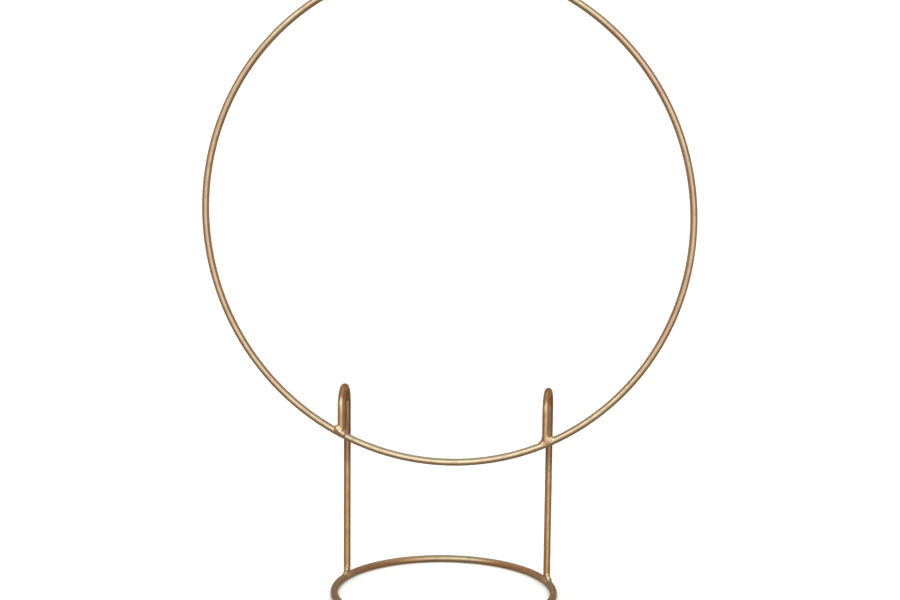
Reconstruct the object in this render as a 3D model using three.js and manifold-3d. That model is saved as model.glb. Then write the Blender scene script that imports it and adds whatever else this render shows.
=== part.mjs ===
// Table-top wreath frame bent from round steel wire and closed with small welds.
// Millimetres, +Z up. The origin is on the surface the base ring stands on, at the ring's centre.
// The hoop stands in the plane Y = 0 and faces -Y, and +X is to its right.

import * as THREE from 'three';
import * as BufferGeometryUtils from 'three/addons/utils/BufferGeometryUtils.js';
import Module from 'manifold-3d';

const wasm = await Module();
wasm.setup();

// ---- Driving dimensions ----

const WIRE_RADIUS = 2.2;
const WIRE_SIDES = 12;
const JOINT_GAP = 0.3;

const HOOP_RADIUS = 150.0;
const HOOP_CENTRE_HEIGHT = 236.0;
const HOOP_OVALITY = 2.1;
const HOOP_LONG_AXIS = THREE.MathUtils.degToRad(108);
const HOOP_STEPS = 128;
const HOOP_ANGLE_PASSES = 6;

const BASE_RADIUS = 68.4;
const BASE_STEPS = 84;

const UPRIGHT_OFFSET = 64.0;
const UPRIGHT_STEPS = 64;
const HOOK_TOP_HEIGHT = 127.8;
const LEFT_HOOK_TWIST = THREE.MathUtils.degToRad(1.9);
const RIGHT_HOOK_TWIST = THREE.MathUtils.degToRad(5.4);

const BUTT_WELD_LENGTH = 1.6;
const BUTT_WELD_CROWN = 0.3;
const BUTT_WELD_RINGS = 4;

const FILLET_RISE = 6.2;
const FILLET_DEPTH = 0.9;
const FILLET_RIM = 0.45;
const FILLET_SPREAD = 0.8;
const HOOP_FILLET_REACH = 2.8;
const BASE_FILLET_REACH = 1.6;
const FILLET_RINGS = 6;
const FILLET_SIDES = 24;

const LACQUER_METALNESS = 0.9;
const LACQUERS = {
  hoop: { color: 0xc9a468, roughness: 0.32 },
  upright: { color: 0xbd935f, roughness: 0.34 },
  base: { color: 0x9a7650, roughness: 0.42 },
  weld: { color: 0xd2ae6e, roughness: 0.4 },
};

// ---- Places worked out from the driving dimensions ----

const TOP_ANGLE = Math.PI / 2;
const FRONT_ANGLE = -Math.PI / 2;
const HOOK_DEPTH = Math.sqrt(BASE_RADIUS ** 2 - UPRIGHT_OFFSET ** 2);
const HOOK_RADIUS = HOOK_DEPTH / 2;
const UPRIGHTS = {
  left: { foot: new THREE.Vector3(-UPRIGHT_OFFSET, HOOK_DEPTH, WIRE_RADIUS), twist: LEFT_HOOK_TWIST },
  right: { foot: new THREE.Vector3(UPRIGHT_OFFSET, HOOK_DEPTH, WIRE_RADIUS), twist: RIGHT_HOOK_TWIST },
};

function hoopRadiusAt(angle) {
  return HOOP_RADIUS + HOOP_OVALITY * Math.cos(2 * (angle - HOOP_LONG_AXIS));
}

function hoopPoint(angle) {
  const radius = hoopRadiusAt(angle);
  return new THREE.Vector3(
    radius * Math.cos(angle),
    0,
    HOOP_CENTRE_HEIGHT + radius * Math.sin(angle),
  );
}

// The angle, on the lower half of the hoop, of the point that lies at a given x.
function hoopAngleAt(x) {
  let angle = -Math.acos(x / HOOP_RADIUS);
  for (let pass = 0; pass < HOOP_ANGLE_PASSES; pass += 1) {
    angle = -Math.acos(x / hoopRadiusAt(angle));
  }
  return angle;
}

function hookShortLeg({ foot, twist }) {
  const x = foot.x - HOOK_DEPTH * Math.sin(twist);
  const y = foot.y - HOOK_DEPTH * Math.cos(twist);
  const angle = hoopAngleAt(x);
  return { x, y, angle, z: hoopPoint(angle).z };
}

// ---- Wire centrelines ----

// The hoop, slightly out of round, open at its top where the butt weld closes it.
class HoopCurve extends THREE.Curve {
  constructor(halfGap) {
    super();
    this.start = TOP_ANGLE + halfGap / HOOP_RADIUS;
    this.sweep = 2 * Math.PI - (2 * halfGap) / HOOP_RADIUS;
  }

  getPoint(t) {
    return hoopPoint(this.start + t * this.sweep);
  }
}

// The base ring, open at its front where the butt weld closes it.
class BaseCurve extends THREE.Curve {
  constructor(halfGap) {
    super();
    this.start = FRONT_ANGLE + halfGap / BASE_RADIUS;
    this.sweep = 2 * Math.PI - (2 * halfGap) / BASE_RADIUS;
  }

  getPoint(t) {
    const angle = this.start + t * this.sweep;
    return new THREE.Vector3(BASE_RADIUS * Math.cos(angle), BASE_RADIUS * Math.sin(angle), WIRE_RADIUS);
  }
}

// An upright: a long leg up from the base ring, a half-circle bend, and a short leg down to the hoop.
class UprightCurve extends THREE.Curve {
  constructor(upright) {
    super();
    this.foot = upright.foot;
    this.forward = new THREE.Vector3(-Math.sin(upright.twist), -Math.cos(upright.twist), 0);
    this.bendHeight = HOOK_TOP_HEIGHT - HOOK_RADIUS;
    this.longLeg = this.bendHeight - upright.foot.z;
    this.bend = Math.PI * HOOK_RADIUS;
    this.shortLeg = this.bendHeight - hookShortLeg(upright).z;
  }

  getPoint(t) {
    const travelled = t * (this.longLeg + this.bend + this.shortLeg);
    const bendAngle = THREE.MathUtils.clamp((travelled - this.longLeg) / HOOK_RADIUS, 0, Math.PI);
    const rise = Math.min(travelled, this.longLeg);
    const fall = Math.max(travelled - this.longLeg - this.bend, 0);
    const point = this.foot.clone();
    point.addScaledVector(this.forward, HOOK_RADIUS * (1 - Math.cos(bendAngle)));
    point.z += rise + HOOK_RADIUS * Math.sin(bendAngle) - fall;
    return point;
  }
}

// ---- Solids ----

// A regular polygon whose flats touch the wire's true circle, with one flat square to the X axis.
function wireSection(radius) {
  const cornerRadius = radius / Math.cos(Math.PI / WIRE_SIDES);
  const corners = [];
  for (let side = 0; side < WIRE_SIDES; side += 1) {
    const angle = ((side + 0.5) * 2 * Math.PI) / WIRE_SIDES;
    corners.push(new THREE.Vector2(cornerRadius * Math.cos(angle), cornerRadius * Math.sin(angle)));
  }
  return new THREE.Shape(corners);
}

function wireGeometry(curve, steps, radius = WIRE_RADIUS) {
  return new THREE.ExtrudeGeometry(wireSection(radius), { steps, extrudePath: curve });
}

function toSolid(geometry) {
  const bare = geometry.clone();
  bare.deleteAttribute('normal');
  bare.deleteAttribute('uv');
  const merged = BufferGeometryUtils.mergeVertices(bare);
  return new wasm.Manifold(
    new wasm.Mesh({
      numProp: 3,
      vertProperties: new Float32Array(merged.attributes.position.array),
      triVerts: new Uint32Array(merged.index.array),
    }),
  );
}

function fromSolid(solid) {
  const mesh = solid.getMesh();
  const geometry = new THREE.BufferGeometry();
  geometry.setAttribute('position', new THREE.BufferAttribute(mesh.vertProperties, 3));
  geometry.setIndex(new THREE.BufferAttribute(mesh.triVerts, 1));
  geometry.computeVertexNormals();
  return geometry;
}

const clearance = WIRE_RADIUS + JOINT_GAP;
const hoopClearance = toSolid(wireGeometry(new HoopCurve(JOINT_GAP), HOOP_STEPS, clearance));
const baseClearance = toSolid(wireGeometry(new BaseCurve(JOINT_GAP), BASE_STEPS, clearance));

// Each end of an upright is coped to sit on the wire that it is welded to.
function uprightGeometry(upright) {
  const wire = toSolid(wireGeometry(new UprightCurve(upright), UPRIGHT_STEPS));
  return fromSolid(wire.subtract(hoopClearance).subtract(baseClearance));
}

// A barrel of weld metal between the two ends of a ring, with its axis along Y.
function buttWeldGeometry(crown) {
  const profile = [new THREE.Vector2(0, -BUTT_WELD_LENGTH / 2)];
  for (let ring = 0; ring <= BUTT_WELD_RINGS; ring += 1) {
    const along = ring / BUTT_WELD_RINGS;
    const swell = crown * Math.sin(Math.PI * along);
    profile.push(new THREE.Vector2(WIRE_RADIUS + swell, (along - 0.5) * BUTT_WELD_LENGTH));
  }
  profile.push(new THREE.Vector2(0, BUTT_WELD_LENGTH / 2));
  return new THREE.LatheGeometry(profile, FILLET_SIDES);
}

// A concave skirt of weld metal around a leg's end, long along the wire below it and narrow across it.
// Its own Z axis runs up the leg from the lower wire's centreline, and its own X axis along that wire.
function filletSkirt(reach) {
  const inner = WIRE_RADIUS + FILLET_RIM + JOINT_GAP;
  const profile = [new THREE.Vector2(0, FILLET_DEPTH)];
  for (let ring = 0; ring <= FILLET_RINGS; ring += 1) {
    const up = ring / FILLET_RINGS;
    const flare = (1 - up) ** 2;
    profile.push(new THREE.Vector2(inner + reach * flare, THREE.MathUtils.lerp(FILLET_DEPTH, FILLET_RISE, up)));
  }
  profile.push(new THREE.Vector2(0, FILLET_RISE));
  const skirt = new THREE.LatheGeometry(profile, FILLET_SIDES);
  skirt.rotateX(Math.PI / 2);
  const positions = skirt.attributes.position;
  for (let index = 0; index < positions.count; index += 1) {
    const up = (positions.getZ(index) - FILLET_DEPTH) / (FILLET_RISE - FILLET_DEPTH);
    const flare = (1 - up) ** 2;
    const squeeze = (inner + FILLET_SPREAD * flare) / (inner + reach * flare);
    positions.setY(index, positions.getY(index) * squeeze);
  }
  return skirt;
}

// A fillet is the skirt without the leg that it surrounds and the wire that it sits on.
function filletGeometry(skirt, upright, lowerWire) {
  const leg = toSolid(wireGeometry(new UprightCurve(upright), UPRIGHT_STEPS, clearance));
  return fromSolid(toSolid(skirt).subtract(leg).subtract(lowerWire));
}

function hoopFilletGeometry(upright) {
  const end = hookShortLeg(upright);
  const slope = end.angle + Math.PI / 2;
  const skirt = filletSkirt(HOOP_FILLET_REACH);
  skirt.rotateY(-slope / 2);
  skirt.translate(end.x, end.y, end.z);
  return filletGeometry(skirt, upright, hoopClearance);
}

function baseFilletGeometry(upright) {
  const { foot } = upright;
  const skirt = filletSkirt(BASE_FILLET_REACH);
  skirt.rotateZ(Math.atan2(foot.y, foot.x) + Math.PI / 2);
  skirt.translate(foot.x, foot.y, foot.z);
  return filletGeometry(skirt, upright, baseClearance);
}

// ---- Gold lacquer over steel, warmer and duller towards the base ----

function namedMesh(name, geometry, finish) {
  const material = new THREE.MeshStandardMaterial({ ...LACQUERS[finish], metalness: LACQUER_METALNESS });
  const mesh = new THREE.Mesh(geometry, material);
  mesh.name = name;
  return mesh;
}

// ---- Sub-parts ----

const BUTT_WELD_HALF_GAP = BUTT_WELD_LENGTH / 2 + JOINT_GAP;

function hoopWire() {
  const geometry = wireGeometry(new HoopCurve(BUTT_WELD_HALF_GAP), HOOP_STEPS);
  return namedMesh('hoop_wire', geometry, 'hoop');
}

function hoopButtWeld() {
  const weld = namedMesh('hoop_butt_weld', buttWeldGeometry(BUTT_WELD_CROWN), 'weld');
  weld.position.copy(hoopPoint(TOP_ANGLE));
  weld.rotation.z = Math.PI / 2;
  return weld;
}

function baseRingWire() {
  const geometry = wireGeometry(new BaseCurve(BUTT_WELD_HALF_GAP), BASE_STEPS);
  return namedMesh('base_ring_wire', geometry, 'base');
}

// Dressed flush, so that the ring still lies flat.
function baseButtWeld() {
  const weld = namedMesh('base_ring_butt_weld', buttWeldGeometry(0), 'weld');
  weld.position.set(0, -BASE_RADIUS, WIRE_RADIUS);
  weld.rotation.z = Math.PI / 2;
  return weld;
}

function uprightWithWelds(side) {
  const upright = UPRIGHTS[side];
  const group = new THREE.Group();
  group.add(
    namedMesh(`${side}_upright`, uprightGeometry(upright), 'upright'),
    namedMesh(`${side}_hoop_weld`, hoopFilletGeometry(upright), 'weld'),
    namedMesh(`${side}_base_weld`, baseFilletGeometry(upright), 'weld'),
  );
  return group;
}

const wreathFrame = new THREE.Group();
wreathFrame.add(
  hoopWire(),
  hoopButtWeld(),
  baseRingWire(),
  baseButtWeld(),
  uprightWithWelds('left'),
  uprightWithWelds('right'),
);

export default wreathFrame;
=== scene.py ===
"""The looks of a gold-lacquered wire wreath frame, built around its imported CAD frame. Metres, +Z up."""

import math

import bmesh
import bpy
import numpy as np
from mathutils import Matrix, Vector


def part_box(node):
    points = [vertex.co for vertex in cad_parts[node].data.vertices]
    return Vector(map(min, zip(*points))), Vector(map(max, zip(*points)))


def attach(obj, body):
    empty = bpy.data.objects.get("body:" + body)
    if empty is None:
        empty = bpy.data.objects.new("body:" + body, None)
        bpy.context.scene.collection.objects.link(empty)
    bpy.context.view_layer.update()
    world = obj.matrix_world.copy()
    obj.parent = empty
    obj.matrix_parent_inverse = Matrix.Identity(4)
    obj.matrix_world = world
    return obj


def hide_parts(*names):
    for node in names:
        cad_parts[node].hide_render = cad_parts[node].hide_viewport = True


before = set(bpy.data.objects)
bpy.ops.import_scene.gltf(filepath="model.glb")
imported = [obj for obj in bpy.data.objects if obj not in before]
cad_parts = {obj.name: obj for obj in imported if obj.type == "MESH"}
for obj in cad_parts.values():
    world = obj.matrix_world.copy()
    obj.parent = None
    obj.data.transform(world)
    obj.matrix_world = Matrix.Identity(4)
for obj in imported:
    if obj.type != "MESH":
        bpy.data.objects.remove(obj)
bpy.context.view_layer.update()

MM = 0.001
FULL_TURN = 2 * math.pi

# ---- Camera: in front, a little to the right, looking slightly down ----

CAMERA_DISTANCE = 0.9758
CAMERA_HEIGHT = 0.3171
CAMERA_AZIMUTH = math.radians(3.86)
CAMERA_YAW = math.radians(3.738)
CAMERA_PITCH = math.radians(7.68)
CAMERA_ROLL = math.radians(0.57)
CAMERA_LENS_MM = 64.52
CAMERA_SENSOR_MM = 36.0


def make_camera():
    data = bpy.data.cameras.new("camera")
    data.lens = CAMERA_LENS_MM
    data.sensor_width = CAMERA_SENSOR_MM
    camera = bpy.data.objects.new("camera", data)
    bpy.context.scene.collection.objects.link(camera)
    place = Vector((math.sin(CAMERA_AZIMUTH), -math.cos(CAMERA_AZIMUTH), 0)) * CAMERA_DISTANCE
    place.z = CAMERA_HEIGHT
    turn = Matrix.Rotation(CAMERA_YAW, 4, "Z") @ Matrix.Rotation(math.pi / 2 - CAMERA_PITCH, 4, "X")
    camera.matrix_world = Matrix.Translation(place) @ turn @ Matrix.Rotation(CAMERA_ROLL, 4, "Z")
    bpy.context.scene.camera = camera


# ---- What the frame says ----

STRAIGHT_SAMPLE = 7 * MM
HOOP_ANGLE_STEPS = 4001


def corners(mesh):
    points = np.zeros(len(mesh.vertices) * 3)
    mesh.vertices.foreach_get("co", points)
    return points.reshape(-1, 3)


def node_points(name):
    return corners(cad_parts[name].data)


def box_size(name):
    low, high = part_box(name)
    return high - low


WIRE_RADIUS = box_size("base_ring_wire").z / 2
BASE_RADIUS = box_size("base_ring_wire").x / 2 - WIRE_RADIUS
WELD_LENGTH = box_size("hoop_butt_weld").x


def measure_hoop():
    """The hoop's centre height, its mean radius, and the two parts of its out-of-roundness."""
    points = node_points("hoop_wire")
    low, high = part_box("hoop_wire")
    centre_z = (low.z + high.z) / 2
    angle = np.arctan2(points[:, 2] - centre_z, points[:, 0])
    radius = np.hypot(points[:, 2] - centre_z, points[:, 0])
    terms = np.stack([np.ones_like(angle), np.cos(2 * angle), np.sin(2 * angle)], 1)
    mean, even, odd = np.linalg.lstsq(terms, radius, rcond=None)[0]
    return centre_z, mean, even, odd


HOOP_CENTRE_Z, HOOP_RADIUS, HOOP_EVEN, HOOP_ODD = measure_hoop()
HOOP_BOTTOM = HOOP_CENTRE_Z - HOOP_RADIUS


def hoop_radius_at(angle):
    """From the hoop's centre to its wire's centreline, at an angle up from its right-hand side."""
    return HOOP_RADIUS + HOOP_EVEN * np.cos(2 * angle) + HOOP_ODD * np.sin(2 * angle)


def hoop_point(angle):
    radius = hoop_radius_at(angle)
    return np.stack([radius * np.cos(angle), 0 * radius, HOOP_CENTRE_Z + radius * np.sin(angle)], -1)


def hoop_angle_at(x):
    """The angle at which the hoop's lower half passes a given x."""
    angles = np.linspace(-math.pi, 0, HOOP_ANGLE_STEPS)
    return angles[np.argmin(np.abs(hoop_point(angles)[:, 0] - x))]


def measure_upright(side):
    """The axes of an upright's long and short legs, as (x, y) places, and the height of its bend's top."""
    points = node_points(f"{side}_upright")
    low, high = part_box(f"{side}_upright")
    weld_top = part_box(f"{side}_hoop_weld")[1].z
    behind = points[:, 1] > (low.y + high.y) / 2
    lower_half = points[:, 2] < weld_top / 2
    straight = (points[:, 2] > weld_top) & (points[:, 2] < weld_top + STRAIGHT_SAMPLE)
    return {
        "long": points[behind & lower_half][:, :2].mean(0),
        "short": points[~behind & straight][:, :2].mean(0),
        "top": high.z - WIRE_RADIUS,
    }


UPRIGHTS = {side: measure_upright(side) for side in ("left", "right")}
HOOK_DEPTH = UPRIGHTS["left"]["long"][1]
HOOK_TOP = UPRIGHTS["left"]["top"]

# ---- Mesh making ----

WIRE_SIDES = 32
STEP_LENGTH = 0.0012
DRIFT = 0.012 * MM
DRIFT_WAVES = ((0.083, 0.5), (0.041, 0.3), (0.019, 0.2))  # (length along the wire, share of the drift)
PHASE_PER_SEED = 1.7
PHASE_PER_WAVE = 2.3
PATTERN_SHIFT_PER_SEED = 0.37
WIDENING_PER_THINNING = 0.5


def lacquered_piece(name, mesh, wire_space, material):
    """A smooth piece, with each corner's place on its wire as an attribute that the lacquer reads."""
    mesh.shade_smooth()
    layer = mesh.attributes.new("wire_space", "FLOAT_VECTOR", "POINT")
    layer.data.foreach_set("vector", wire_space.reshape(-1).astype(np.float32))
    mesh.materials.append(material)
    piece = bpy.data.objects.new(name, mesh)
    bpy.context.scene.collection.objects.link(piece)
    return piece


def piece_from_rings(name, rings, wire_space, material):
    """A closed piece lofted through closed rings of points, with its two ends filled in."""
    count, sides = rings.shape[:2]
    corner = np.arange(count * sides).reshape(count, sides)
    here, after = corner[:-1], corner[1:]
    quads = np.stack([here, np.roll(here, -1, 1), np.roll(after, -1, 1), after], -1).reshape(-1, 4)
    faces = quads.tolist() + [corner[0].tolist(), corner[-1].tolist()]
    mesh = bpy.data.meshes.new(name)
    mesh.from_pydata(rings.reshape(-1, 3).tolist(), [], faces)
    shell = bmesh.new()
    shell.from_mesh(mesh)
    bmesh.ops.recalc_face_normals(shell, faces=shell.faces)
    shell.to_mesh(mesh)
    shell.free()
    return lacquered_piece(name, mesh, wire_space, material)


def hand_drift(distance, seed):
    """A smooth, slow wander of the wire's radius, such as a bender's rollers leave."""
    wander = np.zeros_like(distance)
    for wave, (length, share) in enumerate(DRIFT_WAVES):
        phase = PHASE_PER_SEED * seed + PHASE_PER_WAVE * wave
        wander += share * np.sin(FULL_TURN * distance / length + phase)
    return DRIFT * wander


def sweep_wire(name, path, side, material, seed, thinned=0.0):
    """A round wire along a flat path. side is normal to the path's plane; thinned is the share of its
    thickness in that plane that bending has pressed out sideways."""
    tangent = np.gradient(path, axis=0)
    tangent /= np.linalg.norm(tangent, axis=1)[:, None]
    across = np.cross(tangent, side)
    steps = np.linalg.norm(np.diff(path, axis=0), axis=1)
    distance = np.concatenate([[0], np.cumsum(steps)])
    radius = WIRE_RADIUS + hand_drift(distance, seed)
    turn = np.linspace(0, FULL_TURN, WIRE_SIDES, endpoint=False)
    wide = (radius * (1 + WIDENING_PER_THINNING * thinned))[:, None] * np.sin(turn)
    deep = (radius * (1 - thinned))[:, None] * np.cos(turn)
    rings = path[:, None] + deep[..., None] * across[:, None] + wide[..., None] * side
    spread = np.broadcast_to(distance[:, None], wide.shape) + PATTERN_SHIFT_PER_SEED * seed
    return piece_from_rings(name, rings, np.stack([deep, wide, spread], -1), material)


def steps_for(length):
    return int(round(length / STEP_LENGTH)) + 1


# ---- Wires ----

RING_END_SHARE = 0.3  # of a butt weld's length, from its middle to where each wire end starts
BEND_THINNING = 0.035
BEND_ONSET = 0.5  # below 1, so that the thinning sets in soon after the bend starts
WIRE_SEEDS = {"hoop": 1, "base": 2, "left": 3, "right": 4}


def ring_angles(weld_angle, radius):
    """Angles once round a ring, from one side of its butt weld to the other."""
    half_gap = RING_END_SHARE * WELD_LENGTH / radius
    return weld_angle + np.linspace(half_gap, FULL_TURN - half_gap, steps_for(FULL_TURN * radius))


def hoop_wire(material):
    path = hoop_point(ring_angles(math.pi / 2, HOOP_RADIUS))
    return sweep_wire("hoop_wire_fine", path, np.array([0, 1.0, 0]), material, WIRE_SEEDS["hoop"])


def base_ring_wire(material):
    angles = ring_angles(-math.pi / 2, BASE_RADIUS)
    x, y = BASE_RADIUS * np.cos(angles), BASE_RADIUS * np.sin(angles)
    path = np.stack([x, y, np.full_like(angles, WIRE_RADIUS)], -1)
    return sweep_wire("base_ring_wire_fine", path, np.array([0, 0, 1.0]), material, WIRE_SEEDS["base"])


def upright_wire(side, material):
    """Up the long leg, over the half-circle bend, and down the short leg to the hoop."""
    upright = UPRIGHTS[side]
    reach = upright["short"] - upright["long"]
    bend_radius = np.linalg.norm(reach) / 2
    forward = np.append(reach / (2 * bend_radius), 0)
    bend_z = upright["top"] - bend_radius
    foot = np.append(upright["long"], WIRE_RADIUS)
    hoop_z = hoop_point(hoop_angle_at(upright["short"][0]))[2]
    lengths = bend_z - WIRE_RADIUS, math.pi * bend_radius, bend_z - hoop_z
    travelled = np.linspace(0, sum(lengths), steps_for(sum(lengths)))
    bend = np.clip((travelled - lengths[0]) / bend_radius, 0, math.pi)
    rise = np.minimum(travelled, lengths[0])
    fall = np.maximum(travelled - lengths[0] - lengths[1], 0)
    path = foot + (bend_radius * (1 - np.cos(bend)))[:, None] * forward
    path[:, 2] += rise + bend_radius * np.sin(bend) - fall
    thinned = BEND_THINNING * np.sin(bend) ** BEND_ONSET
    across = np.array([forward[1], -forward[0], 0])
    return sweep_wire(f"{side}_upright_fine", path, across, material, WIRE_SEEDS[side], thinned)


# ---- Butt welds ----

BUTT_WELD_RINGS = 25
BUTT_WELD_SIDES = 96
BUTT_WELD_REACH = 0.9  # of the weld's length, to each side of its middle
BUTT_WELD_EDGE = 0.985  # of the wire's radius, so that the edges end inside the wire
BROAD_LUMPS, BROAD_LUMP_RISE = 2, 0.22  # how many round the wire, and how high as a share of the crown
SMALL_LUMPS, SMALL_LUMP_RISE = 5, 0.14
SEAM_WAVES, SEAM_WANDER = 3, 0.12 * MM
HOOP_CROWN = 0.30 * MM
BASE_CROWN = 0.04 * MM


def butt_weld(name, centre, material, crown, seed):
    """A rolled-over ring of flash where a ring's two ends meet, running along X."""
    along = np.linspace(-1, 1, BUTT_WELD_RINGS)
    turn = np.linspace(0, FULL_TURN, BUTT_WELD_SIDES, endpoint=False)
    lump = 1 + BROAD_LUMP_RISE * np.sin(BROAD_LUMPS * turn + seed)
    lump += SMALL_LUMP_RISE * np.sin(SMALL_LUMPS * turn + 2 * seed)
    swell = crown * np.outer(np.cos(along * math.pi / 2) ** 2, lump)
    shift = SEAM_WANDER * np.sin(SEAM_WAVES * turn + seed)
    radius = WIRE_RADIUS * BUTT_WELD_EDGE + swell
    x = along[:, None] * BUTT_WELD_REACH * WELD_LENGTH + shift * (1 - along[:, None] ** 2)
    rings = np.stack([x, radius * np.cos(turn), radius * np.sin(turn)], -1)
    return piece_from_rings(name, rings + np.array(centre), rings, material)


# ---- Fillet welds ----

FILLET_SUBDIVISIONS = 6
SUNK = 0.05 * MM  # how far below a wire's surface the plain metal lies, so that only the throat shows
HEART_RISE = 1.3 * MM
BEAD_BLEND = 1.1 * MM
MARCH_STEPS = 120
HALVINGS = 12
LEAST_BLEND = 1e-7
LEAN_LENGTH = 3 * WIRE_RADIUS
SLIM_CORE = 0.1 * WIRE_RADIUS
THROAT_STARTS = (-0.9 * WIRE_RADIUS, 1.1 * WIRE_RADIUS)  # heights over the wire's centreline
RIPPLE_WAVES = (np.array([2100.0, 900.0, 1500.0]), np.array([-700.0, 1900.0, 2600.0]))  # radians a metre
TANGENT_STEP = 0.001

# throat: how widely the leg and the wire run together; lean: how much wider on the side of +X; slim: how
# much narrower across the wire; reach: the farthest that the skin is from the joint's heart.
# Beads are (along the wire, to its front or inner side, up, radius), from where the leg's axis meets the
# wire's centreline.
HOOP_FILLETS = {
    "left": {
        "throat": 2.6 * MM, "lean": 0.1, "ripple": 0.05 * MM, "slim": 0.2, "reach": 6.6 * MM,
        "beads": [
            (-2.6 * MM, 0.8 * MM, 2.3 * MM, 2.05 * MM),
            (1.5 * MM, 1.0 * MM, 0.9 * MM, 1.9 * MM),
            (-0.6 * MM, 1.5 * MM, 1.3 * MM, 1.5 * MM),
        ],
    },
    "right": {
        "throat": 4.2 * MM, "lean": 0.2, "ripple": 0.02 * MM, "slim": 0.75, "reach": 7.2 * MM,
        "beads": [(3.9 * MM, 0.3 * MM, 2.5 * MM, 0.75 * MM)],
    },
}
BASE_FILLETS = {
    "left": {
        "throat": 3.4 * MM, "lean": -0.2, "ripple": 0.03 * MM, "slim": 0.6, "reach": 6.8 * MM,
        "beads": [(-1.9 * MM, 0.8 * MM, 4.8 * MM, 1.45 * MM)],
    },
    "right": {
        "throat": 4.4 * MM, "lean": 0.25, "ripple": 0.03 * MM, "slim": 0.6, "reach": 6.8 * MM,
        "beads": [
            (1.9 * MM, 0.1 * MM, 3.7 * MM, 1.15 * MM),
            (2.6 * MM, -0.4 * MM, 2.9 * MM, 1.15 * MM),
            (3.3 * MM, -0.9 * MM, 2.1 * MM, 1.05 * MM),
        ],
    },
}


def hoop_distance(points):
    """Distance from the hoop's wire, slightly sunk below its surface."""
    x, y, z = points[..., 0], points[..., 1], points[..., 2] - HOOP_CENTRE_Z
    centreline = hoop_radius_at(np.arctan2(z, x))
    return np.hypot(np.hypot(x, z) - centreline, y) - WIRE_RADIUS + SUNK


def base_distance(points):
    """Distance from the base ring's wire, sunk in the same way."""
    x, y, z = points[..., 0], points[..., 1], points[..., 2] - WIRE_RADIUS
    return np.hypot(np.hypot(x, y) - BASE_RADIUS, z) - WIRE_RADIUS + SUNK


def merged(first, second, width):
    """The smooth minimum of two distances, and how strongly they mix, 0 to 1, over a given width."""
    share = np.clip(1 - np.abs(first - second) / np.maximum(width, LEAST_BLEND), 0, 1)
    return np.minimum(first, second) - share**2 * width / 4, share


def eased(value, low, high):
    share = np.clip((value - low) / (high - low), 0, 1)
    return share * share * (3 - 2 * share)


def weld_distance(points, leg, tangent, wire_distance, shape):
    """Distance from a leg's end run together with the wire that it stands on, and with any beads."""
    offset = points - leg
    up = offset[..., 2]
    along = offset @ tangent
    side = np.cross([0, 0, 1.0], tangent)
    beside = (offset @ side) ** 2
    off_axis = np.stack([offset[..., 0], offset[..., 1], np.minimum(up - HEART_RISE, 0)], -1)
    leg_distance = np.linalg.norm(off_axis, axis=-1) - WIRE_RADIUS + SUNK
    width = shape["throat"] * (1 + shape["lean"] * np.clip(along / LEAN_LENGTH, -1, 1))
    width = width * (1 - shape["slim"] * beside / (beside + along**2 + SLIM_CORE**2))
    width = width * eased(up - along * tangent[2], *THROAT_STARTS)
    distance, mixed = merged(leg_distance, wire_distance(points), width)
    ripple = np.sin(points @ RIPPLE_WAVES[0]) * np.sin(points @ RIPPLE_WAVES[1])
    distance = distance + shape["ripple"] * ripple * mixed
    for bead_along, bead_forward, bead_up, radius in shape["beads"]:
        centre = leg + bead_along * tangent - bead_forward * side + np.array([0, 0, bead_up])
        bead = np.linalg.norm(points - centre, axis=-1) - radius
        distance, mixed = merged(distance, bead, BEAD_BLEND)
    return distance


def distances_to_skin(heart, rays, distance_at, reach):
    """How far each ray runs from the heart until it leaves the metal, at most reach."""
    inside = np.zeros(len(rays))
    still = np.ones(len(rays), bool)
    step = reach / MARCH_STEPS
    for _ in range(MARCH_STEPS):
        still &= distance_at(heart + (inside + step)[:, None] * rays) < 0
        inside[still] += step
    beyond = np.minimum(inside + step, reach)
    for _ in range(HALVINGS):
        middle = (inside + beyond) / 2
        within = distance_at(heart + middle[:, None] * rays) < 0
        inside = np.where(within, middle, inside)
        beyond = np.where(within, beyond, middle)
    return inside


def fillet(name, leg, tangent, wire_distance, shape, material):
    """Weld metal: the skin of a leg and a wire run together, found along rays from the joint's heart."""
    shell = bmesh.new()
    bmesh.ops.create_icosphere(shell, subdivisions=FILLET_SUBDIVISIONS, radius=1.0)
    mesh = bpy.data.meshes.new(name)
    shell.to_mesh(mesh)
    shell.free()
    rays = corners(mesh)
    heart = leg + np.array([0, 0, HEART_RISE])

    def distance_at(points):
        return weld_distance(points, leg, tangent, wire_distance, shape)

    points = heart + distances_to_skin(heart, rays, distance_at, shape["reach"])[:, None] * rays
    mesh.vertices.foreach_set("co", points.reshape(-1))
    return lacquered_piece(name, mesh, points - leg, material)


def hoop_fillet(side, material):
    x, y = UPRIGHTS[side]["short"]
    angle = hoop_angle_at(x)
    tangent = hoop_point(angle + TANGENT_STEP) - hoop_point(angle - TANGENT_STEP)
    tangent /= np.linalg.norm(tangent)
    leg = np.array([x, y, hoop_point(angle)[2]])
    return fillet(f"{side}_hoop_weld_fine", leg, tangent, hoop_distance, HOOP_FILLETS[side], material)


def base_fillet(side, material):
    x, y = UPRIGHTS[side]["long"]
    foot = np.array([x, y, WIRE_RADIUS])
    tangent = np.array([-y, x, 0]) / math.hypot(x, y)
    tangent *= np.sign(tangent[0])
    return fillet(f"{side}_base_weld_fine", foot, tangent, base_distance, BASE_FILLETS[side], material)


# ---- Shader helpers ----

MIX_SHARE, MIX_FIRST, MIX_SECOND = 0, 6, 7  # a Mix node's sockets when it mixes colours
MIX_RESULT = 2


def feed(tree, socket, value):
    """Link a socket to an output, or set it to a number or colour."""
    if isinstance(value, bpy.types.NodeSocket):
        tree.links.new(value, socket)
    else:
        socket.default_value = value


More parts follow.
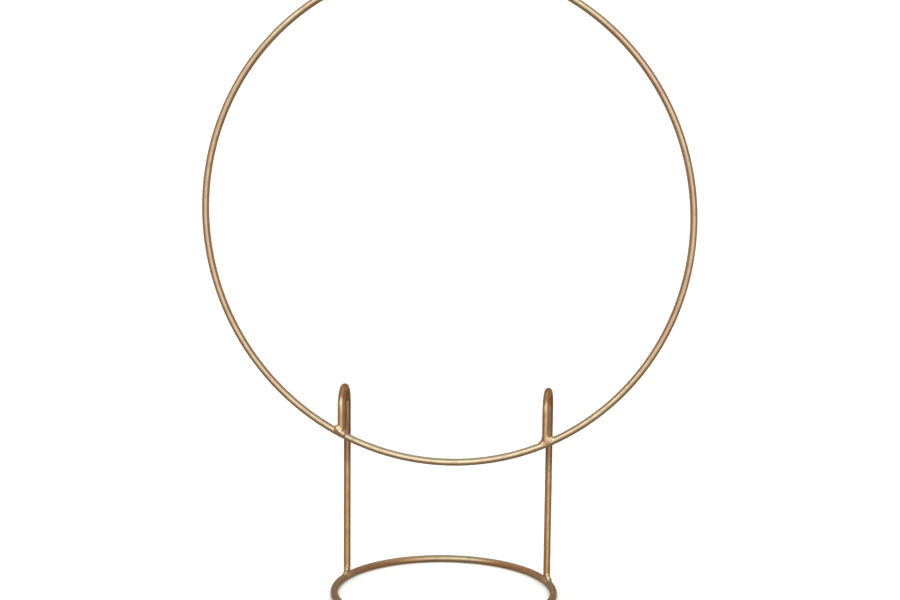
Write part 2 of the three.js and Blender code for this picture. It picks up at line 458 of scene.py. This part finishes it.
def add(tree, kind, **values):
    """A new shader node with the given input sockets fed."""
    made = tree.nodes.new(kind)
    for name, value in values.items():
        feed(tree, made.inputs[name.replace("_", " ")], value)
    return made


def stretched(tree, vector, scale, rotation=(0, 0, 0)):
    made = add(tree, "ShaderNodeMapping", Vector=vector, Rotation=rotation, Scale=scale)
    return made.outputs["Vector"]


def split(tree, vector):
    return add(tree, "ShaderNodeSeparateXYZ", Vector=vector).outputs


def noise(tree, vector, scale, detail, roughness=0.5):
    made = add(tree, "ShaderNodeTexNoise", Vector=vector, Scale=scale, Detail=detail, Roughness=roughness)
    return made.outputs["Fac"]


def span(tree, value, low, high, to_low=0.0, to_high=1.0):
    """value from low..high carried to to_low..to_high, eased at both ends."""
    made = add(tree, "ShaderNodeMapRange", Value=value, From_Min=low, From_Max=high)
    made.interpolation_type = "SMOOTHSTEP"
    made.inputs["To Min"].default_value = to_low
    made.inputs["To Max"].default_value = to_high
    return made.outputs["Result"]


def blend(tree, share, first, second):
    made = tree.nodes.new("ShaderNodeMix")
    made.data_type = "RGBA"
    for index, value in ((MIX_SHARE, share), (MIX_FIRST, first), (MIX_SECOND, second)):
        feed(tree, made.inputs[index], value)
    return made.outputs[MIX_RESULT]


def maths(tree, operation, first, second=0.0):
    made = tree.nodes.new("ShaderNodeMath")
    made.operation = operation
    for index, value in enumerate((first, second)):
        feed(tree, made.inputs[index], value)
    return made.outputs[0]


def product(tree, first, second):
    return maths(tree, "MULTIPLY", first, second)


def bump(tree, height, strength, depth, **under):
    """Relief, on top of the relief that under gives as its Normal, if any."""
    return add(tree, "ShaderNodeBump", Height=height, Strength=strength, Distance=depth, **under)


# ---- Lacquers ----

# Each pattern's noise: how often it repeats in a metre, its octaves, and how much the finer ones count.
TONE_OCTAVES = 2.0
CLOUD_NOISE = (260.0, 4.0, 0.6)
GRAIN_NOISE = (2600.0, 3.0, 0.6)
PEEL_NOISE = (1500.0, 2.0)
PINHOLE_NOISE = (1150.0, 1.0)
SCRATCH_NOISE = (1400.0, 1.0)
GRAIN_STRETCH = (1.0, 1.0, 0.03)
SCRATCH_STRETCH = (1.0, 1.0, 0.12)
SCRATCH_SLANT = (0.5, 0.4, 0)
NOISE_MIDDLE = 0.5

# Where a pattern starts and ends, and how strongly it colours.
PINHOLE_EDGE = (0.76, 0.80)
SCRATCH_WIDTH = (0.012, 0.002)
SCRATCHED_CLOUD = (0.52, 0.66)
TONE_EDGE = (0.36, 0.64)
CLOUD_SHADE = (0.45, 0.75, 0.0, 0.45)
GRAIN_SHADE = (0.5, 0.8, 0.0, 0.25)
SCRATCH_STRENGTH = 0.5
SCRATCH_TINT = (0.86, 0.78, 0.62, 1)
PINHOLE_TINT = (0.10, 0.065, 0.04, 1)

# Roughness: the cloud swings it about its mean, and pinholes and rubbed places are duller.
GLOSS_CLOUD = (0.3, 0.7)
SMOOTHER, ROUGHER = 0.05, 0.07
PINHOLE_DULLNESS = 0.25
RUBBED_DULLNESS = 0.2

# Relief: strength and depth.
PEEL_RELIEF = (0.15, 0.02 * MM)
GRAIN_RELIEF = (0.18, 0.015 * MM)
MARKS_RELIEF = (0.3, 0.02 * MM)

COAT_WEIGHT = 0.3
COAT_ROUGHNESS = 0.12

# The uprights' painted shade: a painted shadow of the short legs and the hoop on the front of the long legs,
# and painted shade over the bends.
BACK_LEG_Y = (0.55 * HOOK_DEPTH, 0.85 * HOOK_DEPTH)
BEHIND_HOOK_Z = (HOOP_BOTTOM - 16 * MM, HOOP_BOTTOM + 2 * MM)
BEND_Z = (HOOK_TOP - 10.5 * MM, HOOK_TOP - 7.5 * MM)
CREST_Z = (HOOK_TOP - 6.8 * MM, HOOK_TOP - 3.4 * MM)
FACING_FRONT = (0.5, -0.3)
PAINTED_SHADOW_STRENGTH = 0.82
PAINTED_SHADOW_TINT = (0.38, 0.25, 0.155, 1)
CREST_PAINTED_SHADE_STRENGTH = 0.9
CREST_PAINTED_SHADE_TINT = (0.66, 0.38, 0.20, 1)

# The base ring's extra colours: real rub wear underneath, and painted reflection on its quarters and its
# sides.
FLOOR_Z = (0.9 * MM, 0.1 * MM)
RUBBED_CLOUD = (0.35, 0.6)
RUBBED_TINT = (0.42, 0.38, 0.34, 1)
ROSY_BEGINS = (0.20 * BASE_RADIUS, 0.38 * BASE_RADIUS)
ROSY_ENDS = (0.85 * BASE_RADIUS, 0.68 * BASE_RADIUS)
ROSY_PAINTED_REFLECTION_STRENGTH = 0.7
ROSY_PAINTED_REFLECTION_TINT = (0.84, 0.54, 0.30, 1)
SIDES_X = (0.84 * BASE_RADIUS, 0.98 * BASE_RADIUS)
SIDES_PAINTED_REFLECTION_STRENGTH = 0.6
SIDES_PAINTED_REFLECTION_TINT = (0.50, 0.45, 0.36, 1)


def wire_patterns(tree, patches):
    """The lacquer's patterns by name, laid out along the wire."""
    place = tree.nodes.new("ShaderNodeAttribute")
    place.attribute_name = "wire_space"
    wire = place.outputs["Vector"]
    cloud = noise(tree, wire, *CLOUD_NOISE)
    scratch_line = noise(tree, stretched(tree, wire, SCRATCH_STRETCH, SCRATCH_SLANT), *SCRATCH_NOISE)
    off_line = maths(tree, "ABSOLUTE", maths(tree, "SUBTRACT", scratch_line, NOISE_MIDDLE))
    scratched = product(tree, span(tree, off_line, *SCRATCH_WIDTH), span(tree, cloud, *SCRATCHED_CLOUD))
    return {
        "tone": noise(tree, wire, patches, TONE_OCTAVES),
        "cloud": cloud,
        "grain": noise(tree, stretched(tree, wire, GRAIN_STRETCH), *GRAIN_NOISE),
        "peel": noise(tree, wire, *PEEL_NOISE),
        "pinholes": span(tree, noise(tree, wire, *PINHOLE_NOISE), *PINHOLE_EDGE),
        "scratched": scratched,
    }


def upright_painted_shade(tree, surface, patterns, colour, gloss):
    """Painted shadow: darker on the front of the long legs behind the hooks, where the short legs and the
    hoop shade them. Painted shade: browner over the bends.
    """
    point = split(tree, surface.outputs["Position"])
    facing = split(tree, surface.outputs["Normal"])
    behind = span(tree, point["Y"], *BACK_LEG_Y)
    on_bend = span(tree, point["Z"], *BEND_Z)
    on_leg = product(tree, span(tree, point["Z"], *BEHIND_HOOK_Z), maths(tree, "SUBTRACT", 1.0, on_bend))
    # Painted shadow of the short legs and the hoop, on the fronts of the long legs behind the hooks.
    painted_shadow = product(tree, product(tree, behind, on_leg), PAINTED_SHADOW_STRENGTH)
    painted_shadow = product(tree, painted_shadow, span(tree, facing["Y"], *FACING_FRONT))
    colour = blend(tree, painted_shadow, colour, PAINTED_SHADOW_TINT)
    # Painted shade: the tops of the bends, and the long legs' bends behind, tinted browner as a dim mirrored
    # ceiling would make them.
    crest_painted_shade = span(tree, point["Z"], *CREST_Z, 0.0, CREST_PAINTED_SHADE_STRENGTH)
    crest_painted_shade = maths(tree, "MAXIMUM", crest_painted_shade, product(tree, on_bend, behind))
    return blend(tree, crest_painted_shade, colour, CREST_PAINTED_SHADE_TINT), gloss


def base_wear_and_painted_reflection(tree, surface, patterns, colour, gloss):
    """Rubbed underneath, which is real wear; redder on the ring's four quarters and greyer at its two sides,
    which is painted reflection.
    """
    point = split(tree, surface.outputs["Position"])
    rubbed = product(tree, span(tree, point["Z"], *FLOOR_Z), span(tree, patterns["cloud"], *RUBBED_CLOUD))
    colour = blend(tree, rubbed, colour, RUBBED_TINT)
    gloss = maths(tree, "ADD", gloss, product(tree, rubbed, RUBBED_DULLNESS))
    aside = maths(tree, "ABSOLUTE", point["X"])
    # Painted reflection: the ring's four quarters tinted redder, as the mirrored brown room would colour
    # them.
    rosy_painted_reflection = product(tree, span(tree, aside, *ROSY_BEGINS), span(tree, aside, *ROSY_ENDS))
    colour = blend(tree, product(tree, rosy_painted_reflection, ROSY_PAINTED_REFLECTION_STRENGTH), colour, ROSY_PAINTED_REFLECTION_TINT)
    # Painted reflection: the ring's two sides tinted greyer and darker.
    sides_painted_reflection = span(tree, aside, *SIDES_X, 0.0, SIDES_PAINTED_REFLECTION_STRENGTH)
    return blend(tree, sides_painted_reflection, colour, SIDES_PAINTED_REFLECTION_TINT), gloss


def lacquer(name, pale, warm, shade, roughness, patches, wear_and_painted_light=None):
    """Metallic lacquer over drawn wire: slow shifts of tone, drawing lines, pinholes, fine scratches."""
    material = bpy.data.materials.new(name)
    material.use_nodes = True
    tree = material.node_tree
    shader = tree.nodes["Principled BSDF"]
    patterns = wire_patterns(tree, patches)
    cloud, grain, pinholes = patterns["cloud"], patterns["grain"], patterns["pinholes"]
    colour = blend(tree, span(tree, patterns["tone"], *TONE_EDGE), warm, pale)
    colour = blend(tree, span(tree, cloud, *CLOUD_SHADE), colour, shade)
    colour = blend(tree, span(tree, grain, *GRAIN_SHADE), colour, shade)
    colour = blend(tree, product(tree, patterns["scratched"], SCRATCH_STRENGTH), colour, SCRATCH_TINT)
    colour = blend(tree, pinholes, colour, PINHOLE_TINT)
    gloss = span(tree, cloud, *GLOSS_CLOUD, roughness - SMOOTHER, roughness + ROUGHER)
    gloss = maths(tree, "ADD", gloss, product(tree, pinholes, PINHOLE_DULLNESS))
    # Real wear, and painted shadow, shade and reflection, for the pieces that have them.
    if wear_and_painted_light:
        surface = tree.nodes.new("ShaderNodeNewGeometry")
        colour, gloss = wear_and_painted_light(tree, surface, patterns, colour, gloss)
    tree.links.new(colour, shader.inputs["Base Color"])
    tree.links.new(gloss, shader.inputs["Roughness"])
    marks = maths(tree, "ADD", patterns["scratched"], pinholes)
    relief = bump(tree, patterns["peel"], *PEEL_RELIEF)
    relief = bump(tree, grain, *GRAIN_RELIEF, Normal=relief.outputs["Normal"])
    relief = bump(tree, marks, *MARKS_RELIEF, Normal=relief.outputs["Normal"])
    relief.invert = True
    tree.links.new(relief.outputs["Normal"], shader.inputs["Normal"])
    shader.inputs["Metallic"].default_value = 1.0
    shader.inputs["Coat Weight"].default_value = COAT_WEIGHT
    shader.inputs["Coat Roughness"].default_value = COAT_ROUGHNESS
    return material


# patches: how often the tone turns from pale to warm and back in a metre.
# The four lacquers are copies of one gold finish, paler or darker piece by piece as painted light: the weld
# lacquer's pale colours are painted highlight, the base lacquer's darker ones painted shade.
LACQUERS = {
    "hoop_lacquer": {
        "pale": (0.84, 0.72, 0.49, 1), "warm": (0.81, 0.62, 0.44, 1), "shade": (0.58, 0.42, 0.27, 1),
        "roughness": 0.28, "patches": 28.0,
    },
    "upright_lacquer": {
        "pale": (0.81, 0.64, 0.37, 1), "warm": (0.78, 0.56, 0.33, 1), "shade": (0.50, 0.34, 0.20, 1),
        "roughness": 0.29, "patches": 28.0, "wear_and_painted_light": upright_painted_shade,
    },
    "base_lacquer": {
        "pale": (0.74, 0.61, 0.41, 1), "warm": (0.70, 0.50, 0.33, 1), "shade": (0.45, 0.32, 0.21, 1),
        "roughness": 0.33, "patches": 28.0, "wear_and_painted_light": base_wear_and_painted_reflection,
    },
    "weld_lacquer": {
        "pale": (0.94, 0.85, 0.69, 1), "warm": (0.88, 0.69, 0.40, 1), "shade": (0.72, 0.53, 0.32, 1),
        "roughness": 0.27, "patches": 310.0,
    },
}

# ---- Stage and light ----

STAGE_MIDDLE = 0.6
STAGE_FLAT = 1.7
STAGE_CURVE = 0.9
STAGE_WALL = 3.2
STAGE_CURVE_RINGS = 17
STAGE_SIDES = 96
STAGE_TINT = (0.9, 0.9, 0.9, 1)
STAGE_ROUGHNESS = 0.9
FLOOR_LIGHT_HEIGHT = 3.0
FLOOR_LIGHT_WIDTH = 3.6
FLOOR_LIGHT_WATTS = 68


def stage_paper():
    """Dull paper without any shine."""
    material = bpy.data.materials.new("stage_paper")
    material.use_nodes = True
    shader = material.node_tree.nodes["Principled BSDF"]
    shader.inputs["Base Color"].default_value = STAGE_TINT
    shader.inputs["Roughness"].default_value = STAGE_ROUGHNESS
    shader.inputs["Specular IOR Level"].default_value = 0.0
    return material


def make_stage():
    """A pale floor that curves up all round into a pale wall, and that the wires don't mirror."""
    bend = np.linspace(0, math.pi / 2, STAGE_CURVE_RINGS)
    curve_reach = STAGE_FLAT + STAGE_CURVE * np.sin(bend)[1:]
    curve_height = STAGE_CURVE * (1 - np.cos(bend))[1:]
    reach = np.concatenate([[STAGE_MIDDLE, STAGE_FLAT], curve_reach, [STAGE_FLAT + STAGE_CURVE]])
    height = np.concatenate([[0, 0], curve_height, [STAGE_WALL]])
    turn = np.linspace(0, FULL_TURN, STAGE_SIDES, endpoint=False)
    level = np.outer(height, np.ones_like(turn))
    rings = np.stack([np.outer(reach, np.cos(turn)), np.outer(reach, np.sin(turn)), level], -1)
    corner = np.arange(rings.shape[0] * rings.shape[1]).reshape(rings.shape[:2])
    here, after = corner[:-1], corner[1:]
    faces = np.stack([here, after, np.roll(after, -1, 1), np.roll(here, -1, 1)], -1).reshape(-1, 4).tolist()
    mesh = bpy.data.meshes.new("stage")
    mesh.from_pydata(rings.reshape(-1, 3).tolist(), [], [*faces, corner[0].tolist()])
    mesh.shade_smooth()
    mesh.materials.append(stage_paper())
    stage = bpy.data.objects.new("stage", mesh)
    stage.visible_glossy = False
    bpy.context.scene.collection.objects.link(stage)


def make_floor_light():
    """A wide soft light overhead, which lights the stage and which the wires don't mirror."""
    data = bpy.data.lights.new("floor_light", "AREA")
    data.shape = "RECTANGLE"
    data.size = data.size_y = FLOOR_LIGHT_WIDTH
    data.energy = FLOOR_LIGHT_WATTS
    light = bpy.data.objects.new("floor_light", data)
    light.location = (0, 0, FLOOR_LIGHT_HEIGHT)
    light.rotation_euler = Vector((0, 0, -1)).to_track_quat("-Z", "Y").to_euler()
    light.visible_glossy = False
    light.visible_camera = False
    bpy.context.scene.collection.objects.link(light)


# ---- The room that the wires mirror ----

BACKWARD = (-0.10, 0.995, 0.0)
FROM_WINDOW = (0.156, 0.988, 0.0)
SIDEWAYS = (1.0, 0.0, 0.0)

DIM_ROOM = (0.33, 0.228, 0.168, 1)
TABLE_IN_FRONT = (0.84, 0.74, 0.58, 1)
ROOM_IN_FRONT_LEFT = (0.92, 0.72, 0.70, 1)
ROOM_IN_FRONT_RIGHT = (1.10, 0.96, 0.95, 1)
WINDOW_LEFT = (1.52, 1.68, 1.60, 1)
WINDOW_RIGHT = (1.20, 1.38, 1.30, 1)
CEILING = (0.48, 0.50, 0.45, 1)
TABLE_BELOW = (0.23, 0.19, 0.135, 1)
ROOM_AT_BACK_CORNERS = (0.40, 0.29, 0.21, 1)

# Where one part gives way to the next. The first four are shares of a level axis, -1 to 1. The others are
# a direction's X, from left to right, and its Z, from -1 straight down to 1 straight up.
FRONT_EDGE = (-0.55, -0.985)
WINDOW_EDGE = (-0.62, -0.97)
CORNERS_BEHIND = (0.15, 0.50)
CORNERS_ASIDE = (0.50, 0.85)
LEFT_TO_RIGHT = (-0.1, 0.25)
FRONT_TABLE_TOP = (-0.34, -0.08)
WINDOW_SILL = (0.03, 0.38)
TABLE_TOP = (-0.28, -0.50)
CEILING_EDGE = (0.60, 0.96)
LEAST_LEVEL = 0.001


def level_share(tree, direction, level, axis):
    """How far a direction points along a level axis, -1 to 1, whatever its slope."""
    along = tree.nodes.new("ShaderNodeVectorMath")
    along.operation = "DOT_PRODUCT"
    tree.links.new(direction, along.inputs[0])
    along.inputs[1].default_value = axis
    return maths(tree, "DIVIDE", along.outputs["Value"], maths(tree, "MAXIMUM", level, LEAST_LEVEL))


def make_world():
    """What the wires mirror: a bright window in front, a dim brown room behind, a dark table below and a
    dull ceiling."""
    world = bpy.data.worlds.new("room")
    bpy.context.scene.world = world
    world.use_nodes = True
    tree = world.node_tree
    direction = tree.nodes.new("ShaderNodeTexCoord").outputs["Generated"]
    parts = split(tree, direction)
    across, up = parts["X"], parts["Z"]
    level = maths(tree, "SQRT", maths(tree, "SUBTRACT", 1.0, product(tree, up, up)))
    backward = level_share(tree, direction, level, BACKWARD)
    from_window = level_share(tree, direction, level, FROM_WINDOW)
    aside = maths(tree, "ABSOLUTE", level_share(tree, direction, level, SIDEWAYS))

    rightward = span(tree, across, *LEFT_TO_RIGHT)
    window = blend(tree, rightward, WINDOW_LEFT, WINDOW_RIGHT)
    front = blend(tree, rightward, ROOM_IN_FRONT_LEFT, ROOM_IN_FRONT_RIGHT)
    front = blend(tree, span(tree, up, *FRONT_TABLE_TOP), TABLE_IN_FRONT, front)
    in_corner = product(tree, span(tree, backward, *CORNERS_BEHIND), span(tree, aside, *CORNERS_ASIDE))
    in_window = product(tree, span(tree, up, *WINDOW_SILL), span(tree, from_window, *WINDOW_EDGE))

    colour = blend(tree, in_corner, DIM_ROOM, ROOM_AT_BACK_CORNERS)
    colour = blend(tree, span(tree, backward, *FRONT_EDGE), colour, front)
    colour = blend(tree, in_window, colour, window)
    colour = blend(tree, span(tree, up, *TABLE_TOP), colour, TABLE_BELOW)
    colour = blend(tree, span(tree, up, *CEILING_EDGE), colour, CEILING)
    tree.links.new(colour, tree.nodes["Background"].inputs["Color"])


# ---- Putting it together ----


def finish_piece(piece, node):
    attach(piece, "root")
    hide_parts(node)


def make_object():
    """Every piece. The right hoop weld takes the uprights' darker lacquer, as painted shade, and the butt
    welds go with their rings.
    """
    hoop, upright, base, weld = (lacquer(name, **looks) for name, looks in LACQUERS.items())
    finish_piece(hoop_wire(hoop), "hoop_wire")
    finish_piece(base_ring_wire(base), "base_ring_wire")
    top = hoop_point(np.array(math.pi / 2))
    front = (0, -BASE_RADIUS, WIRE_RADIUS)
    hoop_weld = butt_weld("hoop_butt_weld_fine", top, hoop, HOOP_CROWN, WIRE_SEEDS["hoop"])
    finish_piece(hoop_weld, "hoop_butt_weld")
    base_weld = butt_weld("base_butt_weld_fine", front, base, BASE_CROWN, WIRE_SEEDS["base"])
    finish_piece(base_weld, "base_ring_butt_weld")
    for side in UPRIGHTS:
        finish_piece(upright_wire(side, upright), f"{side}_upright")
        hook_weld = hoop_fillet(side, weld if side == "left" else upright)
        finish_piece(hook_weld, f"{side}_hoop_weld")
        finish_piece(base_fillet(side, weld), f"{side}_base_weld")


make_camera()
make_object()
make_stage()
make_floor_light()
make_world()
bpy.context.scene.view_settings.view_transform = "Standard"
